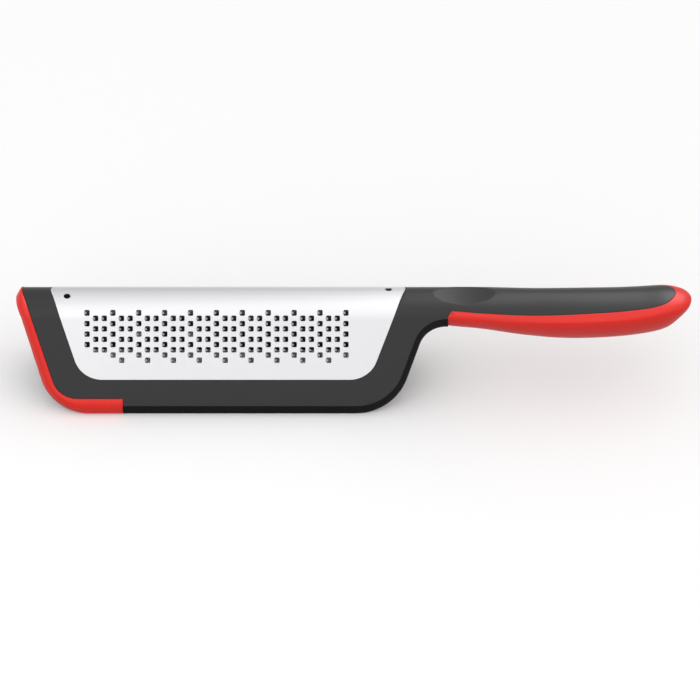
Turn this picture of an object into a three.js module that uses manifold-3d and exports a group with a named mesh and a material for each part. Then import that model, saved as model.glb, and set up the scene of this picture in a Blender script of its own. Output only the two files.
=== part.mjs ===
// Two-sided hand grater: a steel sheet folded over a ridge, held in a black frame with a handle.
// Millimetres, +Z up, handle toward +X, fine side toward -Y, standing on its two legs at z = 0.
import * as THREE from 'three';
import { mergeVertices } from 'three/addons/utils/BufferGeometryUtils.js';
import startManifold from 'manifold-3d';

const wasm = await startManifold();
wasm.setup();
const { Manifold, Mesh } = wasm;

// fold of the two legs over the ridge
const ridgeRadius = 12;
const legSplayDegrees = 20;
const ridgeCentreHeight = 45.5;
const halfBend = THREE.MathUtils.degToRad(90 - legSplayDegrees);
const bendRun = ridgeRadius * halfBend;
const bendFacets = 6;

// clearances
const fitGap = 0.3;
const slideGap = 0.25;
const tidyStep = 0.004;

// outline of a leg, measured down the face from the end of the ridge bend
const legLength = 45.9;
const leftEdge = -162.6;
const leftSlope = 0.289;
const rightEdge = 34.7;
const rightSlope = 0.3725;
const legCornerRadius = 22;
const tipRound = 18;
const neckDrop = -1;
const neckFillet = 17;
const neckReach = 50;
const cornerSteps = 7;

// sloped rim under the crease of the frame
const frameThickness = 4.8;
const rimDepth = 3.6;
const rimAtEnds = 3;
const rimAtFoot = 6;

// steel sheet and the recess it sits in
const sheetThickness = 0.6;
const sheetProud = 0.2;
const recessDepth = sheetThickness - sheetProud + fitGap;
const recessLeft = -146.7;
const recessLeftSlope = 0.314;
const recessRight = 19.4;
const recessRightSlope = 0.363;
const recessLength = 32.3;
const recessCorner = 14.5;
const recessTip = 4;
const farReach = 2.2;
const ledgeWidth = 4;

// fine grating holes, near side
const fineColumns = 31;
const fineFirstColumn = -133.65;
const finePitch = 4.325;
const fineFirstRow = 11.65;
const fineRowStep = 2.83;
const fineHoleWide = 2.6;
const fineHoleTall = 2.9;
const fineToothRise = 0.75;

// coarse grating holes, far side
const coarseColumns = 12;
const coarseFirstColumn = -129;
const coarsePitch = 11.2;
const coarseFirstRow = 17;
const coarseRows = 3;
const coarseRowStep = 7;
const coarseHoleWide = 6;
const coarseHoleTall = 4.2;
const coarseToothRise = 1.5;

// teeth beside the holes
const toothRoot = 0.9;
const toothHeel = 0.25;
const toothReach = 0.42;
const toothSink = 0.1;

// two registration holes on the ridge of the sheet
const registerRadius = 1.65;
const registerLeft = -143.7;
const registerRight = 17.3;
const registerOffset = 2.3;

// bent-over lugs that hold the sheet
const lugLength = 8;
const lugInset = 2;
const lugFoot = 3;
const footLugs = [-108, -84, -60, -36, -12];

// liners behind the legs
const linerThickness = 1.6;
const linerMargin = 6;
const linerTop = 3;
const pegRadius = 1.5;
const pegDepth = 2;
const pegInset = 3.4;
const footPegs = [-112, -64, -16];
const sidePegDrop = 9;

// soft guard on the tip
const guardLeft = -160.2;
const guardSlope = 0.313;
const guardDrop = 42.7;
const guardCorner = 20;
const guardTip = 6;
const guardEnd = -115.85;
const tongueReach = 1.8;
const tongueTop = 1.5;
const tongueBottom = 3;

// handle, heights measured from the ridge centre
const handleStart = 38;
const handleEnd = 168.9;
const handleStations = [38, 47, 63, 83, 103, 123, 143, 156, 163.5, 167.4, 168.9];
const handleHalfWidths = [9.6, 11, 11.8, 12.7, 13.2, 13.2, 12.4, 10.8, 8.1, 4.4, 0.6];
const handleCreases = [4.2, 4.9, 3.7, 3, 2.9, 3.6, 5.1, 7.1, 8, 8.3, 8.2];
const handleTops = [11.2, 11.95, 11.9, 11.7, 11.6, 11.7, 12.6, 13.5, 12.9, 11, 8.6];
const handleBottoms = [-3.2, -6.4, -8.1, -11.3, -13.8, -13.7, -11.3, -6.9, -1.3, 4, 7.8];
const roofStart = 60;
const roofFull = 100;
const ringHalf = 10;
const loftSteps = 22;
const coverThickness = 1.8;
const handleWall = 4.4;
const handleRoofWall = 3;
const cavityStart = 63;
const cavityEnd = 150;

// soft grip on the handle
const gripStart = 47;
const gripCorner = 4.5;
const gripEdgeStations = [47, 63, 83, 103, 123, 143, 153, 157.5, 160.2, 160.6];
const gripEdgeHeights = [8, 7.4, 7.1, 7.1, 7.5, 9, 10.6, 12, 14, 20];

// posts inside the handle
const postStations = [68, 104, 139];
const bossRadius = 3.3;
const bossBottom = 1;
const pinRadius = 1.6;
const pinTop = 6;

// thumb rest
const thumbCentre = 55.1;
const thumbRadius = 72;
const thumbDepth = 1.8;

function solidFrom(geometry) {
  const source = geometry.index ? geometry.toNonIndexed() : geometry;
  const bare = new THREE.BufferGeometry();
  bare.setAttribute('position', source.getAttribute('position'));
  const welded = mergeVertices(bare, 1e-4);
  return new Manifold(new Mesh({
    numProp: 3,
    vertProperties: Float32Array.from(welded.getAttribute('position').array),
    triVerts: Uint32Array.from(welded.getIndex().array),
  }));
}

function geometryFrom(solid) {
  const mesh = solid.getMesh();
  const geometry = new THREE.BufferGeometry();
  geometry.setAttribute('position', new THREE.BufferAttribute(Float32Array.from(mesh.vertProperties), 3));
  geometry.setIndex(new THREE.BufferAttribute(Uint32Array.from(mesh.triVerts), 1));
  const faceted = geometry.toNonIndexed();
  faceted.computeVertexNormals();
  return faceted;
}

// A line in the flat blank: unit outward normal and its distance from the origin.
function lineOf(normalU, normalQ, reach) {
  const size = Math.hypot(normalU, normalQ);
  return { u: normalU / size, q: normalQ / size, reach: reach / size };
}

function moved(line, distance) {
  return { u: line.u, q: line.q, reach: line.reach + distance };
}

function meet(first, second, radius) {
  const size = first.u * second.q - first.q * second.u;
  const u = (first.reach * second.q - first.q * second.reach) / size;
  const q = (first.u * second.reach - first.reach * second.u) / size;
  return { u, q, radius };
}

const leftLine = (side, edge, slope) => lineOf(-1, side * slope, slope * bendRun - edge);
const rightLine = (side, edge, slope) => lineOf(1, side * slope, edge + slope * bendRun);
const flatLine = (side, drop) => lineOf(0, side, bendRun + drop);

// The sheet and the black margin reach a little further at their ends on the far side.
const longer = (side) => (side > 0 ? farReach : 0);
const sheetLeftLine = (side) => moved(leftLine(side, recessLeft, recessLeftSlope), longer(side));
const sheetRightLine = (side) => moved(rightLine(side, recessRight, recessRightSlope), longer(side));
const guardLeftLine = (side) => moved(leftLine(side, guardLeft, guardSlope), longer(side));

function roundedOutline(corners) {
  const points = [];
  corners.forEach((corner, index) => {
    const here = new THREE.Vector2(corner.u, corner.q);
    if (corner.radius === 0) {
      points.push(here);
      return;
    }
    const before = corners[(index + corners.length - 1) % corners.length];
    const after = corners[(index + 1) % corners.length];
    const back = new THREE.Vector2(before.u, before.q).sub(here).normalize();
    const ahead = new THREE.Vector2(after.u, after.q).sub(here).normalize();
    const half = Math.acos(THREE.MathUtils.clamp(back.dot(ahead), -1, 1)) / 2;
    const inward = back.clone().add(ahead).normalize();
    const centre = here.clone().addScaledVector(inward, corner.radius / Math.sin(half));
    const run = corner.radius / Math.tan(half);
    const start = here.clone().addScaledVector(back, run).sub(centre);
    const finish = here.clone().addScaledVector(ahead, run).sub(centre);
    const turn = Math.atan2(start.cross(finish), start.dot(finish));
    for (let step = 0; step <= cornerSteps; step += 1) {
      const spoke = start.clone().rotateAround(new THREE.Vector2(), turn * step / cornerSteps);
      points.push(spoke.add(centre));
    }
  });
  return points;
}

// Flat solid between two heights; height 0 is the outer face and positive is outward.
function slab(points, low, high) {
  const shape = new THREE.Shape(points);
  const geometry = new THREE.ExtrudeGeometry(shape, { depth: high - low, bevelEnabled: false });
  geometry.translate(0, 0, low);
  return solidFrom(geometry);
}

function boxSlab(uLow, uHigh, qLow, qHigh, low, high) {
  const geometry = new THREE.BoxGeometry(uHigh - uLow, qHigh - qLow, high - low);
  geometry.translate((uLow + uHigh) / 2, (qLow + qHigh) / 2, (low + high) / 2);
  return solidFrom(geometry);
}

function peg(u, q, radius, low, high, sides = 12) {
  const geometry = new THREE.CylinderGeometry(radius, radius, high - low, sides);
  geometry.rotateX(Math.PI / 2);
  geometry.translate(u, q, (low + high) / 2);
  return solidFrom(geometry);
}

// Stack of outlines with the same number of points, closed by a cap at each end.
function stackedPlate(layers) {
  const count = layers[0].points.length;
  const vertices = [];
  layers.forEach((layer) => layer.points.forEach((point) => vertices.push(point.x, point.y, layer.height)));
  const faces = [];
  const cap = (points) => THREE.ShapeUtils.triangulateShape(points, []);
  cap(layers[0].points).forEach(([a, b, c]) => faces.push(a, b, c));
  const last = (layers.length - 1) * count;
  cap(layers[layers.length - 1].points).forEach(([a, b, c]) => faces.push(last + a, last + c, last + b));
  for (let layer = 0; layer + 1 < layers.length; layer += 1) {
    for (let index = 0; index < count; index += 1) {
      const next = (index + 1) % count;
      const upper = layer * count;
      const lower = upper + count;
      faces.push(upper + index, lower + index, lower + next);
      faces.push(upper + index, lower + next, upper + next);
    }
  }
  const geometry = new THREE.BufferGeometry();
  geometry.setAttribute('position', new THREE.Float32BufferAttribute(vertices, 3));
  geometry.setIndex(faces);
  return solidFrom(geometry);
}

// Splits the faces of a flat solid along the lines where it bends.
function scored(solid) {
  const mesh = solid.getMesh();
  const vertices = [];
  for (let index = 0; index < mesh.vertProperties.length; index += 3) {
    vertices.push(Array.from(mesh.vertProperties.slice(index, index + 3)));
  }
  let faces = [];
  for (let index = 0; index < mesh.triVerts.length; index += 3) {
    faces.push(Array.from(mesh.triVerts.slice(index, index + 3)));
  }
  for (let fold = -bendFacets; fold <= bendFacets; fold += 1) {
    const level = bendRun * fold / bendFacets;
    const sides = vertices.map((vertex) => {
      const away = vertex[1] - level;
      return Math.abs(away) < 2e-3 ? 0 : Math.sign(away);
    });
    const added = new Map();
    const crossing = (from, to) => {
      const low = Math.min(from, to);
      const high = Math.max(from, to);
      const key = low * 1e7 + high;
      if (!added.has(key)) {
        const start = vertices[low];
        const finish = vertices[high];
        const part = (level - start[1]) / (finish[1] - start[1]);
        const point = start.map((value, axis) => value + (finish[axis] - value) * part);
        point[1] = level;
        added.set(key, vertices.push(point) - 1);
      }
      return added.get(key);
    };
    const split = [];
    faces.forEach((face) => {
      const signs = face.map((vertex) => sides[vertex]);
      if (!signs.includes(1) || !signs.includes(-1)) {
        split.push(face);
        return;
      }
      const turn = signs.includes(0)
        ? signs.indexOf(0)
        : signs.findIndex((sign, index) => sign !== signs[(index + 1) % 3] && sign !== signs[(index + 2) % 3]);
      const [a, b, c] = [0, 1, 2].map((index) => face[(turn + index) % 3]);
      if (sides[a] === 0) {
        const middle = crossing(b, c);
        split.push([a, b, middle], [a, middle, c]);
        return;
      }
      const onFirst = crossing(a, b);
      const onSecond = crossing(a, c);
      split.push([a, onFirst, onSecond], [onFirst, b, c], [onFirst, c, onSecond]);
    });
    faces = split;
  }
  return { vertices, faces };
}

function foldPoint([u, q, height]) {
  const side = Math.sign(q);
  const reach = ridgeRadius + height;
  const angle = Math.min(Math.abs(q) / ridgeRadius, halfBend);
  const beyond = Math.max(Math.abs(q) - bendRun, 0);
  const y = side * (reach * Math.sin(angle) + beyond * Math.cos(halfBend));
  const z = ridgeCentreHeight + reach * Math.cos(angle) - beyond * Math.sin(halfBend);
  return [u, y, z];
}

function folded(solid) {
  const { vertices, faces } = scored(solid);
  return new Manifold(new Mesh({
    numProp: 3,
    vertProperties: Float32Array.from(vertices.flatMap(foldPoint)),
    triVerts: Uint32Array.from(faces.flat()),
  })).simplify(tidyStep);
}

const tableCut = solidFrom(new THREE.BoxGeometry(500, 200, 40).translate(0, 0, -20));

// Frame outline: the crease when grow is 0, the rim when grow is 1.
function frameOutline(grow) {
  const ends = grow * rimAtEnds;
  const foot = grow * rimAtFoot;
  const half = (side) => {
    const left = moved(leftLine(side, leftEdge, leftSlope), ends);
    const bottom = moved(flatLine(side, legLength), foot);
    const right = moved(rightLine(side, rightEdge, rightSlope), ends);
    const neck = moved(flatLine(side, neckDrop), foot);
    return [
      meet(left, bottom, legCornerRadius + ends),
      meet(bottom, right, legCornerRadius + ends),
      meet(right, neck, neckFillet - ends),
      { u: neckReach, q: side * neck.reach, radius: 0 },
    ];
  };
  const near = half(-1);
  const far = half(1);
  const tip = meet(
    moved(leftLine(1, leftEdge, leftSlope), ends),
    moved(leftLine(-1, leftEdge, leftSlope), ends),
    tipRound + ends,
  );
  return roundedOutline([tip, ...near, ...far.reverse()]);
}

// Outline of the recess for the sheet, moved inward by a given inset.
function recessOutline(inset) {
  const half = (side) => {
    const left = moved(sheetLeftLine(side), -inset);
    const bottom = moved(flatLine(side, recessLength), -inset);
    const right = moved(sheetRightLine(side), -inset);
    return { left, bottom, right };
  };
  const near = half(-1);
  const far = half(1);
  const corner = recessCorner - inset;
  const tip = Math.max(recessTip - inset, 1);
  return roundedOutline([
    meet(far.left, near.left, tip),
    meet(near.left, near.bottom, corner),
    meet(near.bottom, near.right, corner),
    meet(near.right, far.right, tip),
    meet(far.right, far.bottom, corner),
    meet(far.bottom, far.left, corner),
  ]);
}

// Area of the face that stays black beside the soft guard.
function guardInside(grow) {
  const left = (side) => moved(guardLeftLine(side), grow);
  const bottom = (side) => moved(flatLine(side, guardDrop), grow);
  const far = 60;
  return roundedOutline([
    meet(left(1), left(-1), guardTip + grow),
    meet(left(-1), bottom(-1), guardCorner + grow),
    { u: far, q: -bottom(-1).reach, radius: 0 },
    { u: far, q: bottom(1).reach, radius: 0 },
    meet(bottom(1), left(1), guardCorner + grow),
  ]);
}

const blank = stackedPlate([
  { points: frameOutline(0), height: 0 },
  { points: frameOutline(1), height: -rimDepth },
  { points: frameOutline(1), height: -frameThickness },
]);

function guardPrism(grow) {
  const block = boxSlab(-220, guardEnd + grow, -100, 100, -20, 20);
  return block.subtract(slab(guardInside(-grow), -21, 21));
}

function tongue(grow) {
  const plate = slab(guardInside(tongueReach + grow), -tongueBottom - grow, -tongueTop + grow);
  return plate.intersect(boxSlab(-220, guardEnd - tongueReach + grow, -100, 100, -20, 20));
}

const guardFlat = blank.intersect(guardPrism(0)).subtract(tongue(fitGap));

// Places along the margin where the sheet has a lug, one side of the fold.
function lugPlaces(side) {
  const bottom = bendRun + recessLength - lugInset;
  return footLugs.map((u) => ({ u, q: side * bottom }));
}

function lugSlot(place, low, high) {
  const longHalf = lugLength / 2 + fitGap;
  const thinHalf = sheetThickness / 2 + fitGap;
  return boxSlab(place.u - longHalf, place.u + longHalf, place.q - thinHalf, place.q + thinHalf, low, high);
}

function pegPlaces(side) {
  const foot = footPegs.map((u) => ({ u, q: side * (bendRun + recessLength + pegInset) }));
  const leftSide = recessLeft + recessLeftSlope * sidePegDrop - pegInset - longer(side);
  const rightSide = recessRight - recessRightSlope * sidePegDrop + pegInset + longer(side);
  const drop = side * (bendRun + sidePegDrop);
  return [...foot, { u: leftSide, q: drop }, { u: rightSide, q: drop }];
}

const bothSides = [-1, 1];
const allLugs = bothSides.flatMap(lugPlaces);
const allPegs = bothSides.flatMap(pegPlaces);
const linerHigh = -frameThickness - fitGap;
const linerLow = linerHigh - linerThickness;

const frameFlat = blank
  .subtract(guardPrism(fitGap).subtract(tongue(0)))
  .subtract(slab(recessOutline(0), -recessDepth, 5))
  .subtract(slab(recessOutline(ledgeWidth), -20, 5))
  .subtract(Manifold.union(allLugs.map((place) => lugSlot(place, -20, 5))))
  .subtract(Manifold.union(allPegs.map((place) => (
    peg(place.u, place.q, pegRadius + slideGap, -frameThickness - 5, -frameThickness + pegDepth + fitGap)
  ))));

// One tooth: a pointed spur rising from the left edge of its hole toward the handle.
function tooth(u, q, wide, tall, rise) {
  const edge = u - wide / 2;
  const half = tall * 0.42;
  const sunk = sheetProud - toothSink;
  const points = [
    [edge - toothRoot, q - half, sunk],
    [edge - toothRoot, q + half, sunk],
    [edge + wide * toothReach, q, sheetProud + rise],
    [edge - toothHeel, q, sunk],
  ];
  const geometry = new THREE.BufferGeometry();
  geometry.setAttribute('position', new THREE.Float32BufferAttribute(points.flat(), 3));
  geometry.setIndex([0, 2, 1, 0, 3, 2, 1, 2, 3, 0, 1, 3]);
  return solidFrom(geometry);
}

// Four-sided hole, a little narrower at the end the tooth points to.
function holeCutter(u, q, wide, tall) {
  const points = [
    new THREE.Vector2(u - wide / 2, q - tall / 2),
    new THREE.Vector2(u + wide / 2, q - tall * 0.4),
    new THREE.Vector2(u + wide / 2, q + tall * 0.4),
    new THREE.Vector2(u - wide / 2, q + tall / 2),
  ];
  return slab(points, -3, 3);
}

// Every third column starts high, the others start half a step lower.
function finePlaces() {
  const places = [];
  for (let column = 0; column < fineColumns; column += 1) {
    const high = column % 3 === 0;
    const short = column === 0 || column === 1 || column % 3 === 2;
    for (let row = 0; row < (short ? 4 : 5); row += 1) {
      const level = 2 * row + (high ? 0 : 1);
      places.push({ u: fineFirstColumn + finePitch * column, q: -(fineFirstRow + fineRowStep * level) });
    }
  }
  return places;
}

function coarsePlaces() {
  const places = [];
  for (let column = 0; column < coarseColumns; column += 1) {
    const odd = column % 2;
    for (let row = 0; row < (odd ? coarseRows - 1 : coarseRows); row += 1) {
      const q = coarseFirstRow + coarseRowStep * (row + odd / 2);
      places.push({ u: coarseFirstColumn + coarsePitch * column, q });
    }
  }
  return places;
}

function lug(place, side) {
  const half = sheetThickness / 2;
  const end = linerLow - fitGap - sheetThickness;
  const stem = boxSlab(
    place.u - lugLength / 2, place.u + lugLength / 2, place.q - half, place.q + half, end, sheetProud - 0.1,
  );
  const outward = side * lugFoot;
  const foot = boxSlab(
    place.u - lugLength / 2, place.u + lugLength / 2,
    Math.min(place.q - half, place.q + outward), Math.max(place.q + half, place.q + outward),
    end, end + sheetThickness,
  );
  return stem.add(foot);
}

const fineHoles = finePlaces();
const coarseHoles = coarsePlaces();
const holeCuts = [
  ...fineHoles.map(({ u, q }) => holeCutter(u, q, fineHoleWide, fineHoleTall)),
  ...coarseHoles.map(({ u, q }) => holeCutter(u, q, coarseHoleWide, coarseHoleTall)),
  peg(registerLeft, -registerOffset, registerRadius, -3, 3),
  peg(registerRight, registerOffset, registerRadius, -3, 3),
];
const sheetAdds = [
  ...fineHoles.map(({ u, q }) => tooth(u, q, fineHoleWide, fineHoleTall, fineToothRise)),
  ...coarseHoles.map(({ u, q }) => tooth(u, q, coarseHoleWide, coarseHoleTall, coarseToothRise)),
  ...bothSides.flatMap((side) => lugPlaces(side).map((place) => lug(place, side))),
];
const sheetBlank = slab(recessOutline(slideGap), sheetProud - sheetThickness, sheetProud);

// U-shaped liner plate behind one leg, open toward the ridge, with pegs into the frame.
function linerFlat(side) {
  const left = (grow) => moved(sheetLeftLine(side), grow);
  const bottom = (grow) => moved(flatLine(side, recessLength), grow);
  const right = (grow) => moved(sheetRightLine(side), grow);
  const top = flatLine(side, linerTop);
  const above = flatLine(side, linerTop - 12);
  const ring = (grow, upper, radius) => [
    meet(left(grow), bottom(grow), radius),
    meet(bottom(grow), right(grow), radius),
    meet(right(grow), upper, 0),
    meet(upper, left(grow), 0),
  ];
  const ordered = (corners) => roundedOutline(side < 0 ? corners : corners.reverse());
  const plate = slab(ordered(ring(linerMargin, top, recessCorner + linerMargin)), linerLow, linerHigh);
  const opening = slab(ordered(ring(-ledgeWidth, above, recessCorner - ledgeWidth)), linerLow - 5, linerHigh + 5);
  const pegs = pegPlaces(side).map(({ u, q }) => (
    peg(u, q, pegRadius, linerLow + 0.4, -frameThickness + pegDepth)
  ));
  const slots = lugPlaces(side).map((place) => lugSlot(place, linerLow - 5, linerHigh + 5));
  return plate.subtract(opening).subtract(Manifold.union(slots)).add(Manifold.union(pegs));
}

// Smooth value along the handle through the station values.
function alongHandle(values, stations = handleStations) {
  return new THREE.SplineCurve(stations.map((x, index) => new THREE.Vector2(x, values[index])));
}

const widthCurve = alongHandle(handleHalfWidths);
const creaseCurve = alongHandle(handleCreases);
const topCurve = alongHandle(handleTops);
const bottomCurve = alongHandle(handleBottoms);

// Share of the way along the curves at which the handle reaches a given x.
function shareAt(x) {
  let low = 0;
  let high = 1;
  for (let step = 0; step < 40; step += 1) {
    const middle = (low + high) / 2;
    if (widthCurve.getPoint(middle).x < x) low = middle;
    else high = middle;
  }
  return (low + high) / 2;
}

const heightAt = (curve, x) => curve.getPoint(shareAt(x)).y;

// One section of the handle, shrunk by a wall; roof-like above the crease, oval below.
function handleRing(x, wall, roofWall) {
  const half = Math.max(heightAt(widthCurve, x) - wall, 0.3);
  const middle = heightAt(creaseCurve, x);
  const top = Math.max(heightAt(topCurve, x) - roofWall, middle + 0.25);
  const bottom = Math.min(heightAt(bottomCurve, x) + wall, middle - 0.25);
  const rise = top - middle;
  const arc = (half * half + rise * rise) / (2 * rise);
  const roof = THREE.MathUtils.smoothstep(x, roofStart, roofFull);
  const ring = [];
  for (let step = 0; step < ringHalf; step += 1) {
    const y = half * Math.cos(Math.PI * step / ringHalf);
    const round = Math.sqrt(Math.max(arc * arc - y * y, 0)) - (arc - rise);
    const pitched = rise * (1 - (y / half) ** 2);
    ring.push([x, y, ridgeCentreHeight + middle + THREE.MathUtils.lerp(round, pitched, roof)]);
  }
  for (let step = 0; step < ringHalf; step += 1) {
    const angle = Math.PI * step / ringHalf;
    const z = middle - (middle - bottom) * Math.sin(angle);
    ring.push([x, -half * Math.cos(angle), ridgeCentreHeight + z]);
  }
  return ring;
}

// Closed body through the handle sections from one place along it to another.
function handleBody(wall, roofWall, start, end) {
  const rings = [];
  for (let step = 0; step <= loftSteps; step += 1) {
    const share = 1 - (1 - step / loftSteps) ** 1.5;
    rings.push(handleRing(start + (end - start) * share, wall, roofWall));
  }
  const count = rings[0].length;
  const faces = [];
  for (let ring = 0; ring < loftSteps; ring += 1) {
    for (let index = 0; index < count; index += 1) {
      const next = (index + 1) % count;
      const here = ring * count;
      const there = here + count;
      faces.push(here + index, here + next, there + next);
      faces.push(here + index, there + next, there + index);
    }
  }
  const last = loftSteps * count;
  for (let index = 1; index + 1 < count; index += 1) {
    faces.push(0, index + 1, index);
    faces.push(last, last + index, last + index + 1);
  }
  const geometry = new THREE.BufferGeometry();
  geometry.setAttribute('position', new THREE.Float32BufferAttribute(rings.flat(2), 3));
  geometry.setIndex(faces);
  return solidFrom(geometry);
}

// Side-view prism that holds the soft grip and the shell under it.
function gripPrism(grow) {
  const edge = alongHandle(gripEdgeHeights, gripEdgeStations).getPoints(20);
  const points = [new THREE.Vector2(200, -60), new THREE.Vector2(200, 20)];
  edge.reverse().forEach((point) => {
    if (point.x > gripStart + gripCorner) points.push(new THREE.Vector2(point.x - grow * 0.3, point.y + grow));
  });
  const start = gripStart - grow;
  const corner = points[points.length - 1].y;
  for (let step = 0; step <= 5; step += 1) {
    const angle = Math.PI / 2 + Math.PI / 2 * step / 5;
    const x = start + gripCorner + gripCorner * Math.cos(angle);
    points.push(new THREE.Vector2(x, corner - gripCorner + gripCorner * Math.sin(angle)));
  }
  points.push(new THREE.Vector2(start, -60));
  const geometry = new THREE.ExtrudeGeometry(new THREE.Shape(points), { depth: 80, bevelEnabled: false });
  geometry.translate(0, 0, -40);
  geometry.rotateX(Math.PI / 2);
  geometry.translate(0, 0, ridgeCentreHeight);
  return solidFrom(geometry);
}

function post(x, radius, low, high, sides = 16) {
  return peg(x, 0, radius, ridgeCentreHeight + low, ridgeCentreHeight + high, sides);
}

const tipWall = coverThickness + 0.4;
const handleOuter = handleBody(0, 0, handleStart, handleEnd);
const handleCavity = handleBody(handleWall, handleRoofWall, cavityStart, cavityEnd);
const coverInner = handleBody(coverThickness, coverThickness, gripStart - 1, handleEnd - tipWall);
const shellWall = coverThickness + fitGap;
const shellOuter = handleBody(shellWall, shellWall, gripStart + fitGap, handleEnd - tipWall - fitGap);

const bosses = postStations.map((x) => post(x, bossRadius, bossBottom, heightAt(topCurve, x) - 2));
const bossHoles = postStations.map((x) => post(x, pinRadius + slideGap, bossBottom - 30, pinTop + fitGap));
const pins = postStations.map((x) => post(x, pinRadius, heightAt(bottomCurve, x) + 3, pinTop));

const thumbCut = solidFrom(
  new THREE.CylinderGeometry(thumbRadius, thumbRadius, 60, 160)
    .rotateY(Math.PI / 320)
    .translate(thumbCentre, 0, ridgeCentreHeight + heightAt(topCurve, thumbCentre) - thumbDepth + thumbRadius),
);

const topShell = handleOuter
  .subtract(handleCavity)
  .subtract(gripPrism(fitGap))
  .add(Manifold.union(bosses).intersect(handleOuter));

const frameSolid = folded(frameFlat)
  .subtract(gripPrism(fitGap))
  .add(topShell)
  .subtract(Manifold.union(bossHoles))
  .subtract(thumbCut)
  .subtract(tableCut);
const sheetSolid = folded(sheetBlank)
  .subtract(folded(Manifold.union(holeCuts)))
  .add(folded(Manifold.union(sheetAdds)));
const guardSolid = folded(guardFlat).subtract(tableCut);
const frontLinerSolid = folded(linerFlat(-1)).subtract(tableCut);
const backLinerSolid = folded(linerFlat(1)).subtract(tableCut);
const coverSolid = handleOuter.subtract(coverInner).intersect(gripPrism(0));
const underSolid = shellOuter
  .subtract(handleCavity)
  .intersect(gripPrism(0))
  .add(Manifold.union(pins));

const blackPlastic = { color: '#2c2c2f', roughness: 0.45, metalness: 0 };
const redRubber = { color: '#d3271f', roughness: 0.6, metalness: 0 };
const brightSteel = { color: '#d4d6d8', roughness: 0.3, metalness: 1 };

const pieces = [
  ['frame', frameSolid, blackPlastic],
  ['grating_sheet', sheetSolid, brightSteel],
  ['front_liner', frontLinerSolid, blackPlastic],
  ['back_liner', backLinerSolid, blackPlastic],
  ['tip_guard', guardSolid, redRubber],
  ['handle_under_shell', underSolid, blackPlastic],
  ['grip_cover', coverSolid, redRubber],
];

const grater = new THREE.Group();
grater.name = 'grater';
pieces.forEach(([name, solid, finish]) => {
  const mesh = new THREE.Mesh(geometryFrom(solid), new THREE.MeshStandardMaterial(finish));
  mesh.name = name;
  grater.add(mesh);
});

export default grater;
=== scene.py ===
import bpy
import math
from mathutils import Matrix, Vector


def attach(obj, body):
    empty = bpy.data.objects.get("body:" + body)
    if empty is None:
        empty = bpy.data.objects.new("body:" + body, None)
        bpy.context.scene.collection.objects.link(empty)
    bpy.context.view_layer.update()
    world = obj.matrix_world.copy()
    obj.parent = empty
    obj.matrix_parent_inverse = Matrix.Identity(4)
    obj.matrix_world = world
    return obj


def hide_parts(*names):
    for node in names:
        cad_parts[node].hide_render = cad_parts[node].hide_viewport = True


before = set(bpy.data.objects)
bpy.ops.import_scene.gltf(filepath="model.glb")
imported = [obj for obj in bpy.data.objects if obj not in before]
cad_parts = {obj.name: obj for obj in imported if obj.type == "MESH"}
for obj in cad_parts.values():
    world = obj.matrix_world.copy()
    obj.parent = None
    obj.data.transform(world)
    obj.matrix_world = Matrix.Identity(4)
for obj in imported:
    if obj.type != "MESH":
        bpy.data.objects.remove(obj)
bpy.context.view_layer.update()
print("frame loaded")

# the pieces are shaped in millimetres and brought to metres when they are finished
toMetres = 0.001


def linearFromHex(code):
    channels = [int(code[index:index + 2], 16) / 255 for index in (1, 3, 5)]
    linear = [c / 12.92 if c <= 0.04045 else ((c + 0.055) / 1.055) ** 2.4 for c in channels]
    return (*linear, 1)


def newMaterial(name):
    material = bpy.data.materials.new(name)
    material.use_nodes = True
    material.node_tree.nodes.clear()
    return material


# adds a node, sets its values and links its inputs
def addNode(owner, kind, settings=None, values=None, links=None):
    tree = owner.node_tree
    node = tree.nodes.new(kind)
    for name, value in (settings or {}).items():
        setattr(node, name, value)
    for name, value in (values or {}).items():
        node.inputs[name].default_value = value
    for name, source in (links or {}).items():
        tree.links.new(source, node.inputs[name])
    return node


# polypropylene moulded in a spark-eroded tool: near black, an even fine grain, a soft satin sheen;
# its rims, which face down, get a darker, smoother and less glossy copy of the same plastic: painted shade
satinBlack = {
    "colour": "#19191a", "specular": 0.5,
    "grain": 0.9, "bump": 0.04,  # mm
    "cloud": 60,  # patches of gloss about 17 mm across
    "roughLow": 0.38, "roughHigh": 0.48,
}
paintedShadeRimFinish = {
    "colour": "#0a0a0b", "specular": 0.08,
    "grain": 2.5, "bump": 0.01,
    "cloud": 60,
    "roughLow": 0.2, "roughHigh": 0.28,
}


def mouldedPolypropylene(name, finish):
    material = newMaterial(name)
    place = addNode(material, "ShaderNodeTexCoord")
    grain = addNode(material, "ShaderNodeTexNoise", values={"Scale": 1000 / finish["grain"], "Detail": 2},
                    links={"Vector": place.outputs["Object"]})
    cloud = addNode(material, "ShaderNodeTexNoise", values={"Scale": finish["cloud"], "Detail": 3},
                    links={"Vector": place.outputs["Object"]})
    rough = addNode(material, "ShaderNodeMapRange", values={
        "To Min": finish["roughLow"], "To Max": finish["roughHigh"]}, links={"Value": cloud.outputs["Fac"]})
    bump = addNode(material, "ShaderNodeBump",
                   values={"Strength": 0.5, "Distance": finish["bump"] * toMetres},
                   links={"Height": grain.outputs["Fac"]})
    shader = addNode(material, "ShaderNodeBsdfPrincipled",
                     values={"Base Color": linearFromHex(finish["colour"]), "IOR": 1.49,
                             "Specular IOR Level": finish["specular"]},
                     links={"Roughness": rough.outputs["Result"], "Normal": bump.outputs["Normal"]})
    addNode(material, "ShaderNodeOutputMaterial", links={"Surface": shader.outputs["BSDF"]})
    return material


# thermoplastic rubber moulded over the hard frame: saturated red with a soft, broad sheen and fine grain
redFinish = {
    "colour": "#f0271c", "deep": "#e82318",
    "grain": 0.8, "bump": 0.03,  # mm
    "cloud": 45,  # patches of tint about 22 mm across
    "roughness": 0.42, "specular": 0.44,
}


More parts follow.
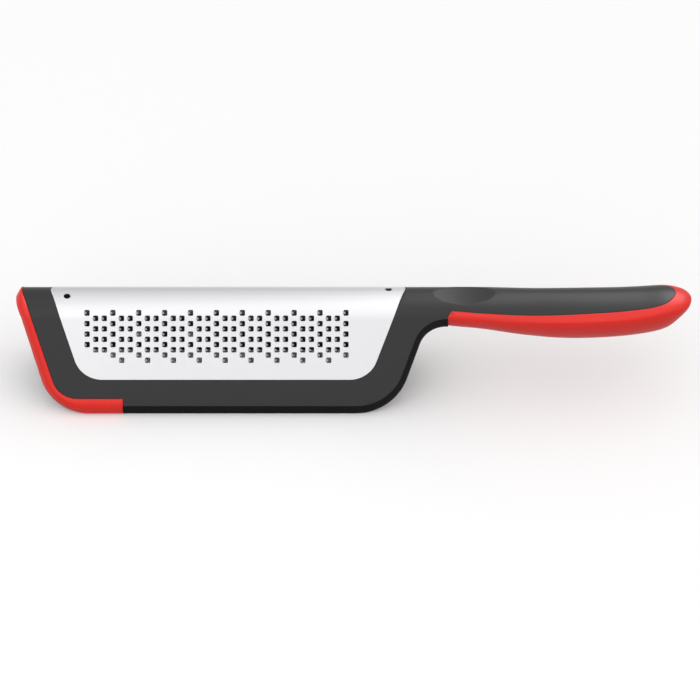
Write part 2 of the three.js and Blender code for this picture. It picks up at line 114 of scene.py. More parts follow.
def softRedRubber():
    material = newMaterial("soft_red_rubber")
    place = addNode(material, "ShaderNodeTexCoord")
    cloud = addNode(material, "ShaderNodeTexNoise", values={"Scale": redFinish["cloud"], "Detail": 3},
                    links={"Vector": place.outputs["Object"]})
    tint = addNode(material, "ShaderNodeMix", {"data_type": "RGBA"}, {
        6: linearFromHex(redFinish["colour"]), 7: linearFromHex(redFinish["deep"])},
        {"Factor": cloud.outputs["Fac"]})
    grain = addNode(material, "ShaderNodeTexNoise", values={"Scale": 1000 / redFinish["grain"], "Detail": 2},
                    links={"Vector": place.outputs["Object"]})
    bump = addNode(material, "ShaderNodeBump",
                   values={"Strength": 0.4, "Distance": redFinish["bump"] * toMetres},
                   links={"Height": grain.outputs["Fac"]})
    shader = addNode(material, "ShaderNodeBsdfPrincipled",
                     values={"Roughness": redFinish["roughness"], "IOR": 1.48,
                             "Specular IOR Level": redFinish["specular"]},
                     links={"Base Color": tint.outputs[2], "Normal": bump.outputs["Normal"]})
    addNode(material, "ShaderNodeOutputMaterial", links={"Surface": shader.outputs["BSDF"]})
    return material


# stainless sheet with a fine satin grind along its length: bright, with a soft streaked reflection;
# the teeth get a darker, rougher copy of the same steel: painted shade on the tongues
groundSteel = {
    "colour": "#e2e2e4",
    "line": 0.5, "run": 40.0, "bump": 0.004,  # mm across and along a grinding line, and its depth
    "roughLow": 0.32, "roughHigh": 0.4,
}
paintedShadeToothFinish = {
    "colour": "#a2a2a5",
    "line": 0.4, "run": 3.0, "bump": 0.006,
    "roughLow": 0.4, "roughHigh": 0.5,
}


def satinStainless(name, finish):
    material = newMaterial(name)
    place = addNode(material, "ShaderNodeTexCoord")
    stretch = addNode(material, "ShaderNodeMapping", values={
        "Scale": (1000 / finish["run"], 1000 / finish["line"], 1000 / finish["line"])},
        links={"Vector": place.outputs["Object"]})
    lines = addNode(material, "ShaderNodeTexNoise", values={"Scale": 1, "Detail": 3},
                    links={"Vector": stretch.outputs["Vector"]})
    rough = addNode(material, "ShaderNodeMapRange", values={
        "To Min": finish["roughLow"], "To Max": finish["roughHigh"]}, links={"Value": lines.outputs["Fac"]})
    bump = addNode(material, "ShaderNodeBump",
                   values={"Strength": 0.4, "Distance": finish["bump"] * toMetres},
                   links={"Height": lines.outputs["Fac"]})
    across = addNode(material, "ShaderNodeTangent", {"direction_type": "RADIAL", "axis": "X"})
    shader = addNode(material, "ShaderNodeBsdfPrincipled",
                     values={"Base Color": linearFromHex(finish["colour"]), "Metallic": 1,
                             "Anisotropic": 0.6},
                     links={"Roughness": rough.outputs["Result"], "Normal": bump.outputs["Normal"],
                            "Tangent": across.outputs["Tangent"]})
    addNode(material, "ShaderNodeOutputMaterial", links={"Surface": shader.outputs["BSDF"]})
    return material


blackPlastic = mouldedPolypropylene("satin_black_polypropylene", satinBlack)
rimBlackPaintedShade = mouldedPolypropylene("black_polypropylene_rim_painted_shade", paintedShadeRimFinish)
redRubber = softRedRubber()
steel = satinStainless("satin_ground_stainless", groundSteel)
toothSteelPaintedShade = satinStainless("stainless_tooth_painted_shade", paintedShadeToothFinish)
print("finishes mixed")

# fold of the two legs over the ridge, shared by all the pieces
fold = {
    "radius": 12.0,
    "splay": 20.0,
    "centre": 45.5,
    "facets": 32,
}
halfBend = math.radians(90 - fold["splay"])
bendRun = fold["radius"] * halfBend


def deselectAll():
    active = bpy.context.view_layer.objects.active
    if active and active.mode != "OBJECT":
        bpy.ops.object.mode_set(mode="OBJECT")
    bpy.ops.object.select_all(action="DESELECT")


def pick(piece):
    deselectAll()
    piece.select_set(True)
    bpy.context.view_layer.objects.active = piece


def applyModifier(piece, kind, **settings):
    pick(piece)
    modifier = piece.modifiers.new(kind.title(), kind)
    for name, value in settings.items():
        setattr(modifier, name, value)
    bpy.ops.object.modifier_apply(modifier=modifier.name)


def recalculateNormals(piece):
    pick(piece)
    bpy.ops.object.mode_set(mode="EDIT")
    bpy.ops.mesh.select_all(action="SELECT")
    bpy.ops.mesh.normals_make_consistent(inside=False)
    bpy.ops.object.mode_set(mode="OBJECT")


def weld(piece, distance=0.002):
    pick(piece)
    bpy.ops.object.mode_set(mode="EDIT")
    bpy.ops.mesh.select_all(action="SELECT")
    bpy.ops.mesh.remove_doubles(threshold=distance)
    bpy.ops.object.mode_set(mode="OBJECT")


# takes out faces that were pressed flat to nothing
def clearSlivers(piece, distance=0.001):
    pick(piece)
    bpy.ops.object.mode_set(mode="EDIT")
    bpy.ops.mesh.select_all(action="SELECT")
    bpy.ops.mesh.dissolve_degenerate(threshold=distance)
    bpy.ops.object.mode_set(mode="OBJECT")


# a grid whose rows of points are laid in place, welded where its edges meet
def rolledGrid(name, rows):
    deselectAll()
    across = len(rows[0])
    bpy.ops.mesh.primitive_grid_add(x_subdivisions=across - 1, y_subdivisions=len(rows) - 1, size=1)
    piece = bpy.context.object
    piece.name = name
    piece.data.name = name
    points = [Vector(point) for row in rows for point in row]
    for vertex, point in zip(piece.data.vertices, points):
        vertex.co = point
    weld(piece)
    return piece


def closeHoles(piece):
    pick(piece)
    bpy.ops.object.mode_set(mode="EDIT")
    bpy.ops.mesh.select_mode(type="EDGE")
    bpy.ops.mesh.select_all(action="DESELECT")
    bpy.ops.mesh.select_non_manifold()
    bpy.ops.mesh.fill_holes(sides=0)
    bpy.ops.object.mode_set(mode="OBJECT")


def cutAlong(piece, axis, levels):
    pick(piece)
    bpy.ops.object.mode_set(mode="EDIT")
    normal = [0, 0, 0]
    normal[axis] = 1
    for level in levels:
        point = [0, 0, 0]
        point[axis] = level
        bpy.ops.mesh.select_all(action="SELECT")
        bpy.ops.mesh.bisect(plane_co=point, plane_no=normal, threshold=0.0005)
    bpy.ops.object.mode_set(mode="OBJECT")


# flat place to folded place: along the ridge, across it (near side negative), out from the face
def foldPoint(along, across, out):
    side = 1 if across > 0 else -1
    reach = fold["radius"] + out
    angle = min(abs(across) / fold["radius"], halfBend)
    beyond = max(abs(across) - bendRun, 0)
    y = side * (reach * math.sin(angle) + beyond * math.cos(halfBend))
    z = fold["centre"] + reach * math.cos(angle) - beyond * math.sin(halfBend)
    return Vector((along, y, z))


def foldOver(piece):
    steps = fold["facets"]
    cutAlong(piece, 1, [bendRun * (2 * step / steps - 1) for step in range(steps + 1)])
    for vertex in piece.data.vertices:
        vertex.co = foldPoint(*vertex.co)


def finishPiece(piece, smoothAngle):
    piece.data.transform(Matrix.Scale(toMetres, 4))
    pick(piece)
    bpy.ops.object.shade_smooth_by_angle(angle=math.radians(smoothAngle))
    applyModifier(piece, "WEIGHTED_NORMAL", weight=50, keep_sharp=True)


# straight edges of the flat outlines, each as an outward normal and its distance
def edgeLine(normalAlong, normalAcross, reach):
    size = math.hypot(normalAlong, normalAcross)
    return (normalAlong / size, normalAcross / size, reach / size)


def leftEdge(side, edge, slope, grow=0):
    along, across, reach = edgeLine(-1, side * slope, slope * bendRun - edge)
    return (along, across, reach + grow)


def rightEdge(side, edge, slope, grow=0):
    along, across, reach = edgeLine(1, side * slope, edge + slope * bendRun)
    return (along, across, reach + grow)


def lowerEdge(side, drop, grow=0):
    return (0, side, bendRun + drop + grow)


def corner(first, second):
    size = first[0] * second[1] - first[1] * second[0]
    along = (first[2] * second[1] - first[1] * second[2]) / size
    across = (first[0] * second[2] - first[2] * second[0]) / size
    return Vector((along, across))


# rounded corner from the middle of one straight run to the middle of the next
def roundCorner(before, here, after, radius, steps):
    back = (before - here).normalized()
    ahead = (after - here).normalized()
    half = math.acos(max(-1, min(1, back.dot(ahead)))) / 2
    centre = here + (back + ahead).normalized() * (radius / math.sin(half))
    run = radius / math.tan(half)
    start = here + back * run - centre
    finish = here + ahead * run - centre
    turn = math.atan2(start.x * finish.y - start.y * finish.x, start.dot(finish))
    points = []
    for step in range(steps + 1):
        angle = turn * step / steps
        c, s = math.cos(angle), math.sin(angle)
        points.append(centre + Vector((start.x * c - start.y * s, start.x * s + start.y * c)))
    return points


# closed outline; each corner is a point, a radius and its steps, each straight run has its own count
def roundedOutline(corners, runSteps):
    count = len(corners)
    arcs = []
    for index, (here, radius, steps) in enumerate(corners):
        before = corners[index - 1][0]
        after = corners[(index + 1) % count][0]
        arcs.append(roundCorner(before, here, after, radius, steps) if radius else [here])
    points = []
    for index, arc in enumerate(arcs):
        points.extend(arc)
        last, following = arc[-1], arcs[(index + 1) % count][0]
        for step in range(1, runSteps[index]):
            points.append(last.lerp(following, step / runSteps[index]))
    return points


def smoothStep(low, high, value):
    share = max(0, min(1, (value - low) / (high - low)))
    return share * share * (3 - 2 * share)


# values through a few stations, with slopes taken from the neighbours
def throughStations(stations, values, place):
    if place <= stations[0]:
        return values[0]
    if place >= stations[-1]:
        return values[-1]
    index = max(i for i in range(len(stations) - 1) if stations[i] <= place)

    def slope(i):
        low, high = max(i - 1, 0), min(i + 1, len(stations) - 1)
        return (values[high] - values[low]) / (stations[high] - stations[low])

    width = stations[index + 1] - stations[index]
    share = (place - stations[index]) / width
    square, cube = share * share, share ** 3
    return ((2 * cube - 3 * square + 1) * values[index] + (cube - 2 * square + share) * width * slope(index)
            + (3 * square - 2 * cube) * values[index + 1] + (cube - square) * width * slope(index + 1))


handle = {
    "end": 168.55,
    "stations": [38, 47, 63, 83, 103, 123, 143, 156, 163.5, 167.4, 168.55],
    "halfWidth": [9.6, 10.93, 11.8, 12.7, 13.2, 13.2, 12.4, 10.8, 8.1, 4.4, 0],
    "crease": [4.4, 4.98, 3.8, 3.0, 2.9, 3.6, 4.9, 6.7, 7.6, 7.75, 7.75],
    "top": [11.9, 12.0, 11.9, 11.7, 11.6, 11.7, 12.1, 12.75, 11.5, 9.5, 7.75],
    "bottom": [-4.0, -6.2, -7.8, -11.7, -14.2, -14.1, -11.9, -8.2, -1.0, 4.0, 7.75],
    "roofFrom": 58,
    "roofFull": 96,
    "domeFrom": 128,
    "domeFull": 160,
    "domeShare": 0.65,
    "creaseRound": 1,
    "gripStart": 47.0,
    "gripCorner": 1.9,
    "gripStations": [51.5, 63, 83, 103, 123, 139, 151.5, 157, 160, 160.6],
    "gripShare": [0.83, 0.845, 0.825, 0.79, 0.755, 0.735, 0.715, 0.585, 0.27, 0.0],
    "gripEnd": 160.6,
    "edgeRound": 0.3,
    "coverWall": 1.8,
    "shellWall": 2.4,
    # the top starts a hair below the neck and comes up to it
    "seamFrom": 45.6, "seamTo": 46.9, "seamSink": 0.06,
    # rows of points: from, to, step
    "topRows": ((45.6, 52, 0.25), (52, 74, 0.5), (74, 148, 1.6), (148, 158, 0.7), (158, 160.6, 0.12)),
    "gripRows": ((47.0, 52, 0.3), (52, 148, 1.6), (148, 158, 0.7), (158, 161.2, 0.1), (161.2, 166, 0.4)),
    "tail": 2.9, "tailRows": 12,
    "lowerColumns": 22,
}
thumb = {
    "middle": 55.5, "radius": 62.0, "depth": 2.0, "edge": 0.12,
    "from": 37.5, "reach": 8.0, "alongStep": 0.6, "acrossStep": 0.5,
}


# the end of the handle is round, so its sizes run along the root of the distance to the end
def alongHandle(name, x):
    reach = [-math.sqrt(max(handle["end"] - station, 0)) for station in handle["stations"]]
    return throughStations(reach, handle[name], -math.sqrt(max(handle["end"] - x, 0)))


def scooped(x, z):
    floor = fold["centre"] + fold["radius"] - thumb["depth"]
    floor += (x - thumb["middle"]) ** 2 / (2 * thumb["radius"])
    soft = max(thumb["edge"] - abs(z - floor), 0) / thumb["edge"]
    return min(z, floor) - soft * soft * thumb["edge"] / 4


# upper side of the handle from the apex (share 0) to the crease (share 1)
def upperPoint(x, share, side):
    half = alongHandle("halfWidth", x)
    low = alongHandle("crease", x)
    rise = max(alongHandle("top", x) - low, 1e-6)  # never quite flat
    y = half * share
    arc = (half * half + rise * rise) / (2 * rise)
    rounded = math.sqrt(max(arc * arc - y * y, 0)) - (arc - rise)
    pitched = rise * (1 - share * share)
    domed = rise * math.sqrt(max(1 - share * share, 0))
    roof = smoothStep(handle["roofFrom"], handle["roofFull"], x)
    dome = handle["domeShare"] * smoothStep(handle["domeFrom"], handle["domeFull"], x)
    height = rounded + (pitched - rounded) * roof
    return Vector((x, side * y, fold["centre"] + low + height + (domed - height) * dome))


# lower side of the handle from the crease (share 0) to the bottom (share 1)
def lowerPoint(x, share, side):
    half = alongHandle("halfWidth", x)
    low = alongHandle("crease", x)
    drop = low - alongHandle("bottom", x)
    angle = share * math.pi / 2
    return Vector((x, side * half * math.cos(angle), fold["centre"] + low - drop * math.sin(angle)))


# where the soft grip begins on the upper side, as a share of the way to the crease
def gripShare(x):
    start, turn = handle["gripStart"], handle["gripCorner"]
    share = throughStations(handle["gripStations"], handle["gripShare"], max(x, start + turn))
    if x < start + turn:
        lift = max(x - start, 0) / turn
        share = 1 + (share - 1) * lift
    return max(min(share, 1), 0)


# how far a moulded edge has rounded off, by the distance to it
def edgeSink(distance):
    reach = handle["edgeRound"]
    gone = max(1 - distance / reach, 0)
    return reach * (1 - math.sqrt(max(1 - gone * gone, 0)))


def spread(low, high, step):
    count = max(int(math.ceil((high - low) / step)), 1)
    return [low + (high - low) * index / count for index in range(count)]


def rowPlaces(parts):
    return [place for part in parts for place in spread(*part)]


# frame plate: rim, crease, face, recess for the sheet and ledge under it
plate = {
    "thickness": 4.8,
    "rimDepth": 3.6,
    "rimEnds": 3.8,
    "rimFoot": 6.0,
    "leg": 45.9,
    "left": -162.4, "leftSlope": 0.3,
    "right": 34.1, "rightSlope": 0.349,
    "cornerRadius": 21.0,
    "neckCornerRadius": 24.0,
    "tipRadius": 42.0,
    "neckDrop": -0.4,
    "neckRadius": 17.5,
    "neckEnd": 46.95,
    "creaseRound": 0.7,
    "core": 1.4,
    "coreTop": 2.6,
    "heel": 0.3,
    "rimBelow": -0.3,
}
recess = {
    "left": -146.6, "leftSlope": 0.317,
    "right": 19.6, "rightSlope": 0.365,
    "drop": 32.3,
    "cornerRadius": 14.5,
    "tipRadius": 8.0,
    "farLeft": 1.2,
    "farRight": 2.4,
    "depth": 0.7,
    "ledge": 4.0,
    "lip": 0.18, "lipTurn": 0.3,
    "leastTip": 0.8,
    "slack": 0.05,
}
guard = {
    "left": -161.0, "slope": 0.314,
    "drop": 42.5,
    "cornerRadius": 12.9,
    "tipRadius": 20.0,
    "farReach": 2.0,
    "end": -115.7,
    "gap": 0.22,
    "swell": 1.4,
    "footSwell": 1.4,
    "bulge": 1.2,
    "tuck": 0.5,
    "lipDepth": 0.25, "lipIn": 0.08, "lipDown": 0.06, "lipWidth": 0.3,
    "crownRows": 12,
}
# points on each rounded corner and on the straight runs of the frame and recess lines, which pair up
arcSteps = 14
runPoints = {"end": 10, "guardFoot": 12, "guardStop": 2, "foot": 40, "slope": 12, "neckSide": 1, "neckEnd": 12}
guardStopRun = 4


# the sheet and the black margin reach a little further at their ends on the far side
def longer(side, reach):
    return reach if side > 0 else 0


def guardInside(side, grow):
    left = leftEdge(side, guard["left"], guard["slope"], grow + longer(side, guard["farReach"]))
    return left, lowerEdge(side, guard["drop"], grow)


# one closed line round the frame plate, moved out by ends and foot from the crease;
# at the tip it is either the edge of the guard or the core that runs on behind the guard
def frameLoop(ends, foot, core=False):
    def half(side):
        if core:
            left = leftEdge(side, plate["left"], plate["leftSlope"], ends - plate["core"])
            under = lowerEdge(side, plate["leg"], foot - plate["core"])
            radius = plate["cornerRadius"] + ends - plate["core"]
        else:
            left, under = guardInside(side, -guard["gap"])
            radius = guard["cornerRadius"] - guard["gap"]
        low = lowerEdge(side, plate["leg"], foot)
        right = rightEdge(side, plate["right"], plate["rightSlope"], ends)
        neck = lowerEdge(side, plate["neckDrop"], foot)
        stop = guard["end"] + guard["gap"]
        return left, [
            (corner(left, under), radius, arcSteps),
            (Vector((stop, side * under[2])), 0, 0),
            (Vector((stop, side * low[2])), 0, 0),
            (corner(low, right), plate["neckCornerRadius"] + ends, arcSteps),
            (corner(right, neck), plate["neckRadius"] - ends, arcSteps),
            (Vector((plate["neckEnd"], side * neck[2])), 0, 0),
        ]

    nearLeft, near = half(-1)
    farLeft, far = half(1)
    tipRadius = plate["tipRadius"] + ends - plate["core"] if core else guard["tipRadius"]
    tip = (corner(farLeft, nearLeft), tipRadius, arcSteps)
    runs = list(runPoints.values())
    return roundedOutline([tip] + near + far[::-1], runs + runs[-2::-1])


# one closed line round the recess, with a point for each point of the frame line
def recessLoop(inset):
    def half(side):
        leftGrow = longer(side, recess["farLeft"]) - inset
        rightGrow = longer(side, recess["farRight"]) - inset
        return (leftEdge(side, recess["left"], recess["leftSlope"], leftGrow),
                lowerEdge(side, recess["drop"], -inset),
                rightEdge(side, recess["right"], recess["rightSlope"], rightGrow))

    near, far = half(-1), half(1)
    radius = recess["cornerRadius"] - inset
    tipRadius = max(recess["tipRadius"] - inset, recess["leastTip"])
    stop, after = guard["end"], guard["end"] + guardStopRun
    neckSteps = 2 * arcSteps + 2 * runPoints["neckSide"] + runPoints["neckEnd"]
    corners = [
        (corner(far[0], near[0]), tipRadius, arcSteps),
        (corner(near[0], near[1]), radius, arcSteps),
        (Vector((stop, -near[1][2])), 0, 0),
        (Vector((after, -near[1][2])), 0, 0),
        (corner(near[1], near[2]), radius, arcSteps),
        (corner(near[2], far[2]), tipRadius, neckSteps),
        (corner(far[2], far[1]), radius, arcSteps),
        (Vector((after, far[1][2])), 0, 0),
        (Vector((stop, far[1][2])), 0, 0),
        (corner(far[1], far[0]), radius, arcSteps),
    ]
    runs = list(runPoints.values())[:5]
    return roundedOutline(corners, runs + runs[::-1])


def curveThrough(first, middle, last, steps):
    for step in range(steps + 1):
        share = step / steps
        yield [(1 - share) ** 2 * a + 2 * share * (1 - share) * b + share ** 2 * c
               for a, b, c in zip(first, middle, last)]


# the sloped rim: below the face and outside the opening for the sheet
def isRim(place):
    return place.z < plate["rimBelow"] and not insideRecess(place)


def insideRecess(place):
    side = 1 if place.y > 0 else -1
    edges = (leftEdge(side, recess["left"], recess["leftSlope"], longer(side, recess["farLeft"])),
             lowerEdge(side, recess["drop"]),
             rightEdge(side, recess["right"], recess["rightSlope"], longer(side, recess["farRight"])))
    return all(place.x * along + place.y * across < reach + recess["slack"] for along, across, reach in edges)


def buildFramePlate():
    thick, depth, heel = plate["thickness"], plate["rimDepth"], plate["heel"]
    ends, foot = plate["rimEnds"], plate["rimFoot"]
    loops = [(frameLoop(ends - heel, foot - heel, True), -thick)]
    step = plate["coreTop"] / depth
    rimTop = (ends * step, foot * step, -depth * step)
    rim = curveThrough((ends, foot, -thick + heel), (ends, foot, -depth), rimTop, 4)
    loops += [(frameLoop(a, b, True), h) for a, b, h in rim]
    share = plate["creaseRound"] / foot
    inward = -plate["creaseRound"]
    loops += [(frameLoop(ends * step, foot * step), -depth * step)]
    crease = curveThrough((ends * share, foot * share, -depth * share), (0, 0, 0), (inward, inward, 0), 6)
    loops += [(frameLoop(a, b), h) for a, b, h in crease]
    lip, turn = recess["lip"], recess["lip"] * recess["lipTurn"]
    loops += [(recessLoop(-lip), 0), (recessLoop(-turn), -turn), (recessLoop(0), -lip)]
    loops += [(recessLoop(0), -recess["depth"]), (recessLoop(recess["ledge"]), -recess["depth"])]
    loops += [(recessLoop(recess["ledge"]), -thick)]
    loops.append(loops[0])
    rows = [[(point.x, point.y, height) for point in points + points[:1]] for points, height in loops]
    piece = rolledGrid("frame_plate", rows)
    # fine cuts where the thumb rest is pressed in
    cutAlong(piece, 0, spread(thumb["from"], plate["neckEnd"] - 0.3, thumb["alongStep"]))
    cutAlong(piece, 1, spread(-thumb["reach"], thumb["reach"] + 0.01, thumb["acrossStep"]))
    piece.data.materials.append(blackPlastic)
    piece.data.materials.append(rimBlackPaintedShade)
    # rim faces take the darker copy: painted shade where the rim faces down
    for face in piece.data.polygons:
        face.material_index = 1 if isRim(face.center) else 0
    foldOver(piece)
    for vertex in piece.data.vertices:
        if vertex.co.x > thumb["from"] - 0.5 and abs(vertex.co.y) < thumb["reach"] + 1:
            vertex.co.z = scooped(vertex.co.x, vertex.co.z)
    clearSlivers(piece)
    recalculateNormals(piece)
    return piece


# upper half of the handle: an open shell between the two edges of the soft grip
def buildHandleTop():
    places = rowPlaces(handle["topRows"]) + [handle["gripEnd"]]
    half = [0, 0.008, 0.018] + spread(0.03, 1, 0.031)  # close together at the edge
    columns = [part - 1 for part in half] + [0] + [1 - part for part in reversed(half)]
    rows = []
    for x in places:
        share = gripShare(x)
        sink = -handle["seamSink"] * (1 - smoothStep(handle["seamFrom"], handle["seamTo"], x))
        row = []
        for part in columns:
            point = upperPoint(x, abs(part) * share, -1 if part < 0 else 1)
            border = min((1 - abs(part)) * share * alongHandle("halfWidth", x), handle["gripEnd"] - x)
            point.z = scooped(x, point.z) + sink - edgeSink(border)
            row.append(point)
        rows.append(row)
    piece = rolledGrid("handle_top", rows)
    recalculateNormals(piece)
    if piece.data.polygons[len(piece.data.polygons) // 2].normal.z < 0:
        piece.data.flip_normals()
    applyModifier(piece, "SOLIDIFY", thickness=handle["shellWall"], offset=-1, use_even_offset=False)
    piece.data.materials.append(blackPlastic)
    return piece


# solid plug under the neck, from which the handle grows
plug = {
    "places": (36.2, 36.5, 37.2, 38.4, 40, 42, 44, 46, 46.9),
    "end": 46.9, "run": 10.8,
    "halfWidth": 10.75, "upper": 5.2, "lower": 11.3, "above": 4.9,
    "columns": 48,
}


def buildNeckPlug():
    rows = []
    for x in plug["places"]:
        grown = math.sqrt(max(1 - ((plug["end"] - x) / plug["run"]) ** 2, 0))
        row = []
        for step in range(plug["columns"] + 1):
            angle = 2 * math.pi * step / plug["columns"]
            y = plug["halfWidth"] * math.sin(angle) * (0.3 + 0.7 * grown)
            z = math.cos(angle) * (plug["upper"] if math.cos(angle) > 0 else plug["lower"] * grown)
            row.append((x, y, fold["centre"] + plug["above"] + z))
        rows.append(row)
    piece = rolledGrid("neck_plug", rows)
    closeHoles(piece)
    recalculateNormals(piece)
    piece.data.materials.append(blackPlastic)
    return piece


def joinPieces(name, pieces):
    pick(pieces[0])
    for piece in pieces[1:]:
        piece.select_set(True)
    bpy.ops.object.join()
    joined = bpy.context.object
    joined.name = name
    joined.data.name = name
    return joined


frameMoulding = joinPieces("frame_moulding", [buildFramePlate(), buildHandleTop(), buildNeckPlug()])
finishPiece(frameMoulding, 32)
print("frame moulding built")


# soft grip: sides, underside and end of the handle
def buildGripCover():
    tailRows, lowerColumns = handle["tailRows"], handle["lowerColumns"]
    tail = [handle["end"] - handle["tail"] * (1 - step / tailRows) ** 2 for step in range(tailRows + 1)]
    upperSteps = [0, 0.03, 0.07] + spread(0.12, 1, 0.1)  # close together at the edge
    rows = []
    for x in rowPlaces(handle["gripRows"]) + tail:
        start = gripShare(x)
        begun = smoothStep(handle["gripStart"], handle["gripStart"] + handle["gripCorner"], x)
        near = []
        for step in upperSteps:
            share = start + (1 - start) * step
            point = upperPoint(x, share, -1)
            border = math.hypot((share - start) * alongHandle("halfWidth", x), max(x - handle["gripEnd"], 0))
            point.z -= edgeSink(border) * begun
            near.append(point)
        near += [lowerPoint(x, step / lowerColumns, -1) for step in range(lowerColumns)]
        far = [Vector((point.x, -point.y, point.z)) for point in reversed(near)]
        row = near + [lowerPoint(x, 1, -1)] + far
        for _ in range(handle["creaseRound"]):
            eased = [(row[i - 1] + row[i] * 2 + row[i + 1]) / 4 for i in range(1, len(row) - 1)]
            row = [row[0]] + eased + [row[-1]]
        rows.append(row)
    piece = rolledGrid("grip_cover_soft", rows)
    recalculateNormals(piece)
    applyModifier(piece, "SOLIDIFY", thickness=handle["coverWall"], offset=-1, use_even_offset=False)
    piece.data.materials.append(redRubber)
    return piece


gripCover = buildGripCover()
finishPiece(gripCover, 40)
print("grip cover built")


# soft guard: a strip along the foot, round the corner, up the end and over the ridge to the other foot;
# either measured from the edge of the black margin or from the crease of the frame
def guardPath(fromMargin, ends, foot):
    def half(side):
        if fromMargin:
            left, low = guardInside(side, ends)
            return left, low, guard["cornerRadius"] + ends
        left = leftEdge(side, plate["left"], plate["leftSlope"], ends)
        return left, lowerEdge(side, plate["leg"], foot), plate["cornerRadius"] + ends

    near, far = half(-1), half(1)
    tipRadius = ends + (guard["tipRadius"] if fromMargin else plate["tipRadius"])
    corners = [
        (Vector((guard["end"], -near[1][2])), 0, 0),
        (corner(near[1], near[0]), near[2], arcSteps + 6),
        (corner(near[0], far[0]), tipRadius, arcSteps),
        (corner(far[0], far[1]), far[2], arcSteps + 6),
        (Vector((guard["end"], far[1][2])), 0, 0),
    ]
    return roundedOutline(corners, [10, 16, 16, 10, 1])


def buildTipGuard():
    thick, depth, ends, heel = plate["thickness"], plate["rimDepth"], plate["rimEnds"], plate["heel"]
    core = plate["core"] - guard["gap"]
    coreTop = guard["gap"] - plate["coreTop"]
    inner = guardPath(False, ends - core, plate["rimFoot"] - core)
    foot = plate["rimFoot"] - guard["tuck"]
    wall = guardPath(True, 0, 0)
    loops = [(inner, -thick), (inner, coreTop), (wall, coreTop), (wall, -guard["lipDepth"])]
    loops += [(guardPath(True, guard["lipIn"], 0), -guard["lipDown"])]
    margin = guardPath(True, guard["lipWidth"], 0)
    crown = guardPath(False, guard["swell"], guard["swell"] * guard["footSwell"])
    rim = guardPath(False, ends, foot)
    for step in range(guard["crownRows"] + 1):
        share = step / guard["crownRows"]
        height = 2 * guard["bulge"] * share * (1 - share) - depth * share ** 2
        first, second, third = (1 - share) ** 2, 2 * share * (1 - share), share ** 2
        row = [a * first + b * second + c * third for a, b, c in zip(margin, crown, rim)]
        loops.append((row, height))
    loops += [(rim, -thick + heel), (guardPath(False, ends - heel, foot - heel), -thick), (inner, -thick)]
    rows = [[(point.x, point.y, height) for point in points] for points, height in loops]
    piece = rolledGrid("tip_guard_soft", rows)
    piece.data.materials.append(redRubber)
    closeHoles(piece)
    foldOver(piece)
    recalculateNormals(piece)
    return piece


tipGuard = buildTipGuard()


# the legs stand flat: what is below the table is planed off and closed
def planeFoot(piece):
    pick(piece)
    bpy.ops.object.mode_set(mode="EDIT")
    bpy.ops.mesh.select_all(action="SELECT")
    bpy.ops.mesh.bisect(plane_co=(0, 0, 0), plane_no=(0, 0, 1), threshold=1e-7,
                        use_fill=True, clear_inner=True)
    bpy.ops.object.mode_set(mode="OBJECT")


finishPiece(tipGuard, 40)
planeFoot(tipGuard)
planeFoot(frameMoulding)
print("tip guard built")

# steel sheet: outline less a hair, fine holes near, coarse holes far, teeth at their left edges
sheet = {
    "thickness": 0.6,
    "proud": 0.2,
    "clear": 0.15,
    "fineColumns": 31, "fineFirst": -133.2, "finePitch": 4.307,
    "fineRow": 11.45, "fineStep": 2.775,
    "fineWide": 2.6, "fineTall": 2.95, "fineRise": 0.55,
    "coarseColumns": 12, "coarseFirst": -129.0, "coarsePitch": 11.2,
    "coarseRow": 17.0, "coarseStep": 7.0, "coarseRows": 3,
    "coarseWide": 6.0, "coarseTall": 4.2, "coarseRise": 1.3,
    "holeCorner": 0.16,
    "registerLeft": -143.2, "registerRight": 17.3, "registerAway": 2.6,
    "registerWide": 1.75, "registerTall": 1.6, "registerPoints": 24,
}


def finePlaces():
    for column in range(sheet["fineColumns"]):
        high = column % 3 == 0
        short = column < 2 or column % 3 == 2
        for row in range(4 if short else 5):
            level = 2 * row + (0 if high else 1)
            across = sheet["fineRow"] + sheet["fineStep"] * level
            yield sheet["fineFirst"] + sheet["finePitch"] * column, -across


def coarsePlaces():
    for column in range(sheet["coarseColumns"]):
        for row in range(sheet["coarseRows"] - column % 2):
            across = sheet["coarseRow"] + sheet["coarseStep"] * (row + column % 2 / 2)
            yield sheet["coarseFirst"] + sheet["coarsePitch"] * column, across


def holeOutline(along, across, wide, tall):
    cut = sheet["holeCorner"] * wide
    w, t = wide / 2, tall / 2
    shape = [(-w, -t + cut), (-w + cut, -t), (w - cut, -t), (w, -t + cut),
             (w, t - cut), (w - cut, t), (-w + cut, t), (-w, t - cut)]
    return [Vector((along + x, across + y)) for x, y in shape]


def addSpline(curve, points):
    spline = curve.splines.new("POLY")
    spline.points.add(len(points) - 1)
    for target, point in zip(spline.points, points):
        target.co = (point.x, point.y, 0, 1)
    spline.use_cyclic_u = True


# one tooth: a tongue pressed up from the left edge of its hole and drawn to a point
tooth = {
    "root": 0.25, "width": 0.44, "thickness": 0.16, "above": 0.01,
    "steps": ((0.14, 0.94, 0.3), (0.14, 0.82, 0.35), (0.1, 0.5, 0.35)),  # reach, narrowing, lift
}


